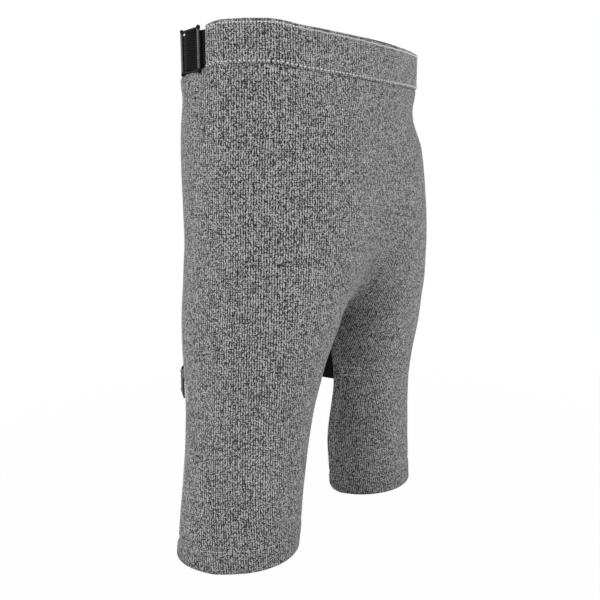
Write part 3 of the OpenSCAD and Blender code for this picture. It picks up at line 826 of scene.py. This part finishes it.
returnOut = -beltThick - strapShape["layerRoom"]
barDrop = returnOut / 2
middleBarOut = beltThick / 2 + strapShape["buckleRoom"] + strapShape["middleBar"]
loopIn = strapShape["middleBar"] + strapShape["loopRoom"]
weaveLift = middleBarOut + loopIn + beltThick + strapShape["loopRoom"] + beltThick / 2
weaveReach = strapShape["adjusterLength"] / 2 + strapShape["barRadius"] + 0.002
weaveTurn = math.asin(weaveReach / hipRadius)
adjusterTurn = math.radians(strapShape["adjusterTurn"])
hipEnd = math.radians(strapShape["hipEnd"])
loopMid = beltBuckle["bar"] + strapShape["loopRoom"] + beltThick / 2


def hipLine(start, stop, out):
    n = max(2, math.ceil(abs(stop - start) / math.radians(2)))
    return [waistPoint(start + (stop - start) * i / n, out) for i in range(n + 1)]


def onAdjuster(out, back):
    # point given by its height off the hip and its distance behind the adjuster's middle, on the right hip
    c, s = math.cos(adjusterTurn - math.pi / 2), math.sin(adjusterTurn - math.pi / 2)
    x, y = hipRadius + out, back
    return Vector((-(sideX + x * c - y * s), sideY + x * s + y * c))


def weaveLine(start, stop):
    points = []
    for i in range(25):
        y = start + (stop - start) * i / 24
        near = abs(y) < strapShape["adjusterLength"] / 2
        rise = (1 + math.cos(math.tau * y / strapShape["adjusterLength"])) / 2 if near else 0
        points.append(onAdjuster(math.sqrt(hipRadius ** 2 - y * y) - hipRadius + weaveLift * rise, y))
    return points


def backLine(side, barX, out, barOut):
    points = []
    for i in range(19):
        u = i / 18
        points.append(Vector((side * (sideX + (side * barX - sideX) * u),
                              backY + out + (barDrop + barOut - out) * eased((u - 0.3) / 0.6))))
    return points


def barLoop(side, barX):
    turns = [math.pi * i / 12 for i in range(1, 12)]
    return [Vector((barX + side * loopMid * -math.sin(a), backY + barDrop + loopMid * math.cos(a))) for a in turns]


def returnLine():
    # from the hip's end of the inner layer to the loop round the adjuster's middle bar
    reach = (hipRadius + returnOut) * math.sin(weaveTurn)
    stop = (hipRadius + returnOut) * math.cos(weaveTurn) - hipRadius
    start = middleBarOut - loopIn - beltThick / 2
    points = [onAdjuster(start + (stop - start) * eased(i / 14), reach * i / 14) for i in range(14, -1, -1)]
    r = loopIn + beltThick / 2
    turns = [math.tau * k / 20 for k in range(1, 19)]
    return points + [onAdjuster(middleBarOut - r * math.cos(a), -r * math.sin(a)) for a in turns]


def beltBand(name, line):
    return band(name, finer(line, 0.003), beltWidth, beltThick, webbingCloth, wave=0.0001)


def makeBelt():
    femaleBar = beltBuckle["mouth"] - beltBuckle["length"] + beltBuckle["barInset"]
    maleBar = beltBuckle["mouth"] + beltBuckle["maleLength"] - beltBuckle["barInset"]
    front = [waistPoint(math.radians(47 - i), 0) for i in range(48)]
    front += hipLine(-math.radians(1), -(adjusterTurn - weaveTurn), 0) + weaveLine(-weaveReach, 0)[1:]
    front = beltBand("beltWebbingFront", front)
    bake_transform(front)
    right = weaveLine(0, weaveReach) + hipLine(-(adjusterTurn + weaveTurn), -hipEnd, 0)[1:]
    right += backLine(-1, femaleBar, 0, loopMid) + barLoop(-1, femaleBar)
    right += backLine(-1, femaleBar, returnOut, -loopMid)[::-1]
    right += hipLine(-hipEnd, -(adjusterTurn + weaveTurn), returnOut) + returnLine()[1:]
    right = beltBand("beltWebbingRight", right)
    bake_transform(right)
    left = hipLine(math.radians(45), hipEnd, 0) + backLine(1, maleBar, 0, loopMid) + barLoop(1, maleBar)
    left += backLine(1, maleBar, returnOut, -loopMid)[::-1]
    left += hipLine(hipEnd, math.radians(strapShape["leftLength"]), returnOut)
    left = beltBand("beltWebbingLeft", left[::-1])
    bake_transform(left)
    return front, right, left


tabIn = -panelThick / 2 - thighStrap["sewnGap"] - strapThick / 2
elasticIn = -panelThick / 2 - thighStrap["sewnGap"] - thighStrap["elasticThick"] / 2
edgePoint = offsetPoint(strapDrop, 0, tabIn).xy
edgeDir = (legPoint(strapDrop, 0) - legPoint(strapDrop, 0.02)).xy.normalized()
heading = math.atan2(edgeDir.y, edgeDir.x)
sideDir = Vector((math.sin(heading), -math.cos(heading)))
mouthPoint = edgePoint + edgeDir * (legBuckle["edgeGap"] + legBuckle["length"])
strapEnd = edgePoint + edgeDir * thighStrap["straight"]
innerPoint = offsetPoint(strapDrop, 1, elasticIn)
turnRadius = (strapEnd.x - innerPoint.x) / (1 + math.sin(heading))
turnMiddle = strapEnd + turnRadius * Vector((-math.sin(heading), math.cos(heading)))
webbingOut = thighStrap["elasticThick"] / 2 + strapShape["loopRoom"] + strapThick / 2
legLoop = legBuckle["bar"] + strapShape["loopRoom"] + strapThick / 2
webbingStop = heading - math.pi / 2 + math.radians(thighStrap["webbingTurn"])
elasticStart = webbingStop - thighStrap["sewnLap"] / turnRadius


def roundPoint(angle, out):
    return turnMiddle + (turnRadius + out) * Vector((math.cos(angle), math.sin(angle)))


def elasticLine(z):
    n = 60
    lean = offsetPoint(strapDrop - z, 1, elasticIn).x - innerPoint.x
    points = []
    for i in range(n + 1):
        p = roundPoint(elasticStart + (math.pi - elasticStart) * i / n, 0)
        points.append(Vector((p.x + lean * eased((i / n - 0.5) * 2), p.y, -strapDrop + z)))
    end = points[-1].copy()
    run = end.y - innerPoint.y
    points += [Vector((end.x, end.y - run * i / 12, end.z)) for i in range(1, 11)]
    lap = thighStrap["lap"] / legLength
    return points + [offsetPoint(strapDrop - z, 1 - lap * i / 8, elasticIn) for i in range(9)]


def legBarLoop(bar, way):
    # half a turn of webbing round a buckle's bar
    turns = [heading + math.pi / 2 + way * (math.pi * i / 12) for i in range(1, 12)]
    return [bar + legLoop * Vector((math.cos(a), math.sin(a))) for a in turns]


def tabLine(z):
    drop = strapDrop - z
    bar = mouthPoint - edgeDir * (legBuckle["length"] - beltBuckle["barInset"])
    flat = (bar - edgePoint).length
    plan = [bar - edgeDir * flat * (1 - i / 8) - sideDir * legLoop * eased((i / 2 - 0.3) / 2.7) for i in range(2, 9)]
    plan += legBarLoop(bar, -1)
    plan += [bar - edgeDir * i * 0.001 + sideDir * legLoop for i in range(3)]
    lap = thighStrap["tabLap"] / legLength
    lapped = [offsetPoint(drop, lap * i / 8, tabIn) for i in range(8, -1, -1)]
    return lapped + [Vector((p.x, p.y, -drop)) for p in plan]


def webbingLine():
    bar = mouthPoint + edgeDir * (legBuckle["maleLength"] - beltBuckle["barInset"])
    away = (strapEnd - bar).length
    foldOut = webbingOut - strapThick - strapShape["loopRoom"]
    folded = [bar + edgeDir * away * i / 12 + sideDir * (-legLoop + (foldOut + legLoop) * eased((i / 2 - 1) / 4))
              for i in range(8, -1, -1)]
    turned = legBarLoop(bar, 1)
    outer = [bar + edgeDir * away * i / 12 + sideDir * (legLoop + (webbingOut - legLoop) * eased((i / 2 - 1) / 4))
             for i in range(13)]
    start = heading - math.pi / 2 + math.radians(5)
    return folded + turned + outer + [roundPoint(start + (webbingStop - start) * i / 24, webbingOut) for i in range(25)]


def ribbon(name, lines, thick, material, side):
    # lines run along the strap, one for each height from the top edge down
    grid, uvs = [], []
    for k, line in enumerate(lines):
        length = runLength(line)
        row = [Vector((side * p.x, p.y, p.z)) for p in line]
        rowUv = [(s, (0.5 - k / (len(lines) - 1)) * thighStrap["elasticWidth"]) for s in length]
        grid.append(row if side == 1 else row[::-1])
        uvs.append(rowUv if side == 1 else rowUv[::-1])
    return gridCloth(name, grid, uvs, material, thick, 0.0003)


def makeThighStrap(side, word):
    heights = [thighStrap["elasticWidth"] * (0.5 - k / 8) for k in range(9)]
    elastic = ribbon(word + "ThighElastic", [elasticLine(z) for z in heights], thighStrap["elasticThick"],
                     elasticCloth, side)
    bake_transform(elastic)
    line = finer(webbingLine(), 0.002)
    line = [Vector((side * p.x, p.y)) for p in line]
    webbing = band(word + "ThighWebbing", line if side == 1 else line[::-1], thighStrap["width"], strapThick,
                   webbingCloth, -strapDrop)
    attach(webbing, word + "_male")
    heights = [thighStrap["width"] * (0.5 - k / 4) for k in range(5)]
    tab = ribbon(word + "BuckleTab", [tabLine(z) for z in heights], strapThick, webbingCloth, side)
    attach(tab, "root")
    return elastic, webbing, tab


beltFront, beltRight, beltLeft = makeBelt()
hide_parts("belt_strap_front", "belt_slider_weave")
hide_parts("belt_strap_right", "belt_strap_return")
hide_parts("belt_strap_left")
for side, word in ((-1, "right"), (1, "left")):
    elastic, webbing, tab = makeThighStrap(side, word)
    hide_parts(word + "_strap_elastic")
    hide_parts(word + "_strap_webbing")
    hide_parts(word + "_buckle_tab")
print("webbing and elastic made")

# ---- buckles and the slide adjuster: eased copies of the rigid parts ----
rigidEdges = {"buckle": 0.00045, "prong": 0.0003, "bar": 0.0002, "sharpTurn": 32}
bodyOfNode = {node: body for body, nodes in frame["record"]["behaviour"]["bodies"].items() for node in nodes}


def easedCopy(node, name, edge, material):
    source = frame["nodes"][node]
    mesh = source.data.copy()
    mesh.name = name
    mesh.materials.clear()
    mesh.materials.append(material)
    piece = newObject(name, mesh)
    weld(piece, 1e-5)
    work = bmesh.new()
    work.from_mesh(mesh)
    bmesh.ops.dissolve_limit(work, angle_limit=math.radians(2), verts=work.verts, edges=work.edges)
    work.to_mesh(mesh)
    work.free()
    addBevel(piece, edge, rigidEdges["sharpTurn"])
    smoothed(baked(piece))
    piece.data.set_sharp_from_angle(angle=math.radians(rigidEdges["sharpTurn"]))
    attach(piece, bodyOfNode[node])
    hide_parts(node)
    return piece


for node in list(frame["nodes"]):
    if node.endswith(("buckle_female", "buckle_male")):
        easedCopy(node, node + "Body", rigidEdges["buckle"], blackPlastic)
    elif "prong" in node:
        easedCopy(node, node + "Arm", rigidEdges["prong"], blackPlastic)
easedCopy("belt_triglide", "slideAdjuster", rigidEdges["bar"], greyBar)
print("buckles and adjuster made")

# ---- stitching ----
stitchSizes = {
    "casing": {"Spacing": 0.0036, "Length": 0.0036, "Radius": 0.00095, "Slant": 0.55},
    "casingEdge": {"Spacing": 0.0048, "Length": 0.0029, "Radius": 0.00115, "Slant": 0.2},
    "hem": {"Spacing": 0.0032, "Length": 0.0022, "Radius": 0.0003, "Slant": 0.0},
    "box": {"Spacing": 0.0028, "Length": 0.0023, "Radius": 0.0006, "Slant": 0.0},
}


def stitchTree():
    # small threads laid along a curve, end to end
    tree = bpy.data.node_groups.new("stitchRun", "GeometryNodeTree")
    for label, kind in (("Geometry", "Geometry"), ("Spacing", "Float"), ("Length", "Float"), ("Radius", "Float"),
                        ("Slant", "Float"), ("Thread", "Material")):
        tree.interface.new_socket(label, in_out="INPUT", socket_type="NodeSocket" + kind)
    tree.interface.new_socket("Geometry", in_out="OUTPUT", socket_type="NodeSocketGeometry")
    given = newNode(tree, "NodeGroupInput").outputs
    spaced = newNode(tree, "GeometryNodeResampleCurve", {"Curve": given["Geometry"], "Length": given["Spacing"]},
                     mode="LENGTH").outputs["Curve"]
    points = newNode(tree, "GeometryNodeCurveToPoints", {"Curve": spaced}, mode="EVALUATED").outputs
    bead = newNode(tree, "GeometryNodeMeshUVSphere", {"Segments": 6, "Rings": 4, "Radius": 1}).outputs["Mesh"]
    size = newNode(tree, "ShaderNodeCombineXYZ", {"X": given["Radius"], "Y": given["Radius"],
                                                  "Z": times(given["Length"], 0.5)}).outputs[0]
    shape = newNode(tree, "GeometryNodeTransform", {"Geometry": bead, "Scale": size}).outputs["Geometry"]
    laid = newNode(tree, "GeometryNodeInstanceOnPoints", {
        "Points": points["Points"], "Instance": shape, "Rotation": points["Rotation"]}).outputs["Instances"]
    lean = newNode(tree, "ShaderNodeCombineXYZ", {"Y": given["Slant"]}).outputs[0]
    tilted = newNode(tree, "GeometryNodeRotateInstances", {"Instances": laid, "Rotation": lean}).outputs["Instances"]
    solid = newNode(tree, "GeometryNodeRealizeInstances", {"Geometry": tilted}).outputs["Geometry"]
    painted = newNode(tree, "GeometryNodeSetMaterial", {"Geometry": solid, "Material": given["Thread"]})
    newNode(tree, "NodeGroupOutput", {"Geometry": painted.outputs["Geometry"]})
    return tree


stitchNodes = stitchTree()


def sew(name, lines, kind, thread, body):
    curve = bpy.data.curves.new(name, "CURVE")
    curve.dimensions = "3D"
    for line in lines:
        spline = curve.splines.new("POLY")
        spline.points.add(len(line) - 1)
        for point, place in zip(spline.points, line):
            point.co = (*place, 1)
    run = newObject(name, curve)
    modifier = run.modifiers.new("stitches", "NODES")
    modifier.node_group = stitchNodes
    values = {**stitchSizes[kind], "Thread": thread}
    for socket in stitchNodes.interface.items_tree:
        if socket.in_out == "INPUT" and socket.name in values:
            modifier[socket.identifier] = values[socket.name]
    run.update_tag()
    bpy.context.view_layer.update()
    stitches = smoothed(baked(run))
    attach(stitches, body)
    return stitches


def casingRows(z):
    rows = []
    limit = math.radians(bandShape["turn"] - 1)
    for side in (1, -1):
        row = []
        for i in range(400):
            turn = -limit + 2 * limit * i / 399
            p = waistPoint(turn, side * (casingMid + casingLift(turn, z) + clothThick / 2 + 0.0005))
            row.append((p.x, p.y, z + bandRise(p) + 0.0002 * math.sin(i * 0.7)))
        rows.append(row)
    return rows


def panelRow(side, start, stop, out, n=120):
    # start and stop are (drop, t)
    row = []
    for i in range(n + 1):
        drop, t = (a + (b - a) * i / n for a, b in zip(start, stop))
        t -= innerCut(drop) if t > 0.9 else 0
        row.append(panelPoint(side, drop, t, out))
    return row


surface = panelThick / 2 + 0.0001
hemSeam = hemDrop - panelCloth["hem"] + 0.003
hemRows = [panelRow(side, (hemSeam, 0.006), (hemSeam, 0.994), surface) for side in (1, -1)]
edgeRows = [panelRow(side, (casingBottom + 0.004, 0.03), (hemSeam, 0.03), surface, 200) for side in (1, -1)]
innerRows = [panelRow(side, (notchDrop() + 0.012, 0.965), (hemSeam, 0.965), surface, 90) for side in (1, -1)]


def boxStitch(point, crossed=True):
    # a stitched box whose point(u, v) gives the surface, u and v from 0 to 1
    corners = [(0, 0), (1, 0), (1, 1), (0, 1), (0, 0)] + ([(1, 1)] if crossed else [])
    lines = [[point(a[0] + (b[0] - a[0]) * i / 12, a[1] + (b[1] - a[1]) * i / 12) for i in range(13)]
             for a, b in zip(corners, corners[1:])]
    if crossed:
        lines.append([point(1 - i / 12, i / 12) for i in range(13)])
    return lines


def elasticBox(side):
    half = 0.0055
    share = 0.017 / legLength
    def place(u, v):
        drop = strapDrop + half * 2 * (v - 0.5) + 0.010
        return panelPoint(side, drop, 0.958 - share * u - innerCut(drop), surface)
    return boxStitch(place, False)


def tabBox(side):
    share = 0.013 / legLength
    def place(u, v):
        return panelPoint(side, strapDrop + 0.017 * (v - 0.5), 0.008 + share * u, surface)
    return boxStitch(place)


casingStitches = sew("casingTopStitching", casingRows(seamRows["upper"]), "casing", lightThread, "root")
casingEdgeStitches = sew("casingEdgeStitching", casingRows(seamRows["lower"]), "casingEdge", lightThread, "root")
hemStitches = sew("hemStitching", hemRows + edgeRows + innerRows, "hem", lightThread, "root")
strapRows = [line for side in (1, -1) for line in elasticBox(side) + tabBox(side)]
strapStitches = sew("strapBoxStitching", strapRows, "box", lightThread, "root")


def webbingBox(side):
    # where the thigh webbing is sewn on the elastic
    out = webbingOut + strapThick / 2 + 0.0001
    def place(u, v):
        angle = webbingStop - 0.03 - (thighStrap["sewnLap"] - 0.006) / turnRadius * u
        p = roundPoint(angle, out)
        return Vector((side * p.x, p.y, -strapDrop + (thighStrap["width"] - 0.005) * (v - 0.5)))
    return boxStitch(place)


for side, word in ((-1, "right"), (1, "left")):
    sewn = sew(word + "WebbingStitching", webbingBox(side), "box", darkThread, word + "_male")


def beltBox():
    # where the left end of the belt is sewn back on itself
    def place(u, v):
        p = waistPoint(math.radians(strapShape["leftLength"] + 2 + 14 * u), beltThick / 2 + 0.0001)
        return Vector((p.x, p.y, (beltWidth - 0.006) * (v - 0.5)))
    return boxStitch(place)


beltSewn = sew("beltEndStitching", beltBox(), "box", darkThread, "belt_male")
print("stitching made")

# ---- cloth pieces are tied to the frame ----
for piece, node, slotName in ((panel, "front_panel", "knit"), (casing, "waistband_casing", "band_knit"),
                              (rightHem, "right_hem", "knit"), (leftHem, "left_hem", "knit")):
    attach(piece, "root")
    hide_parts(node)
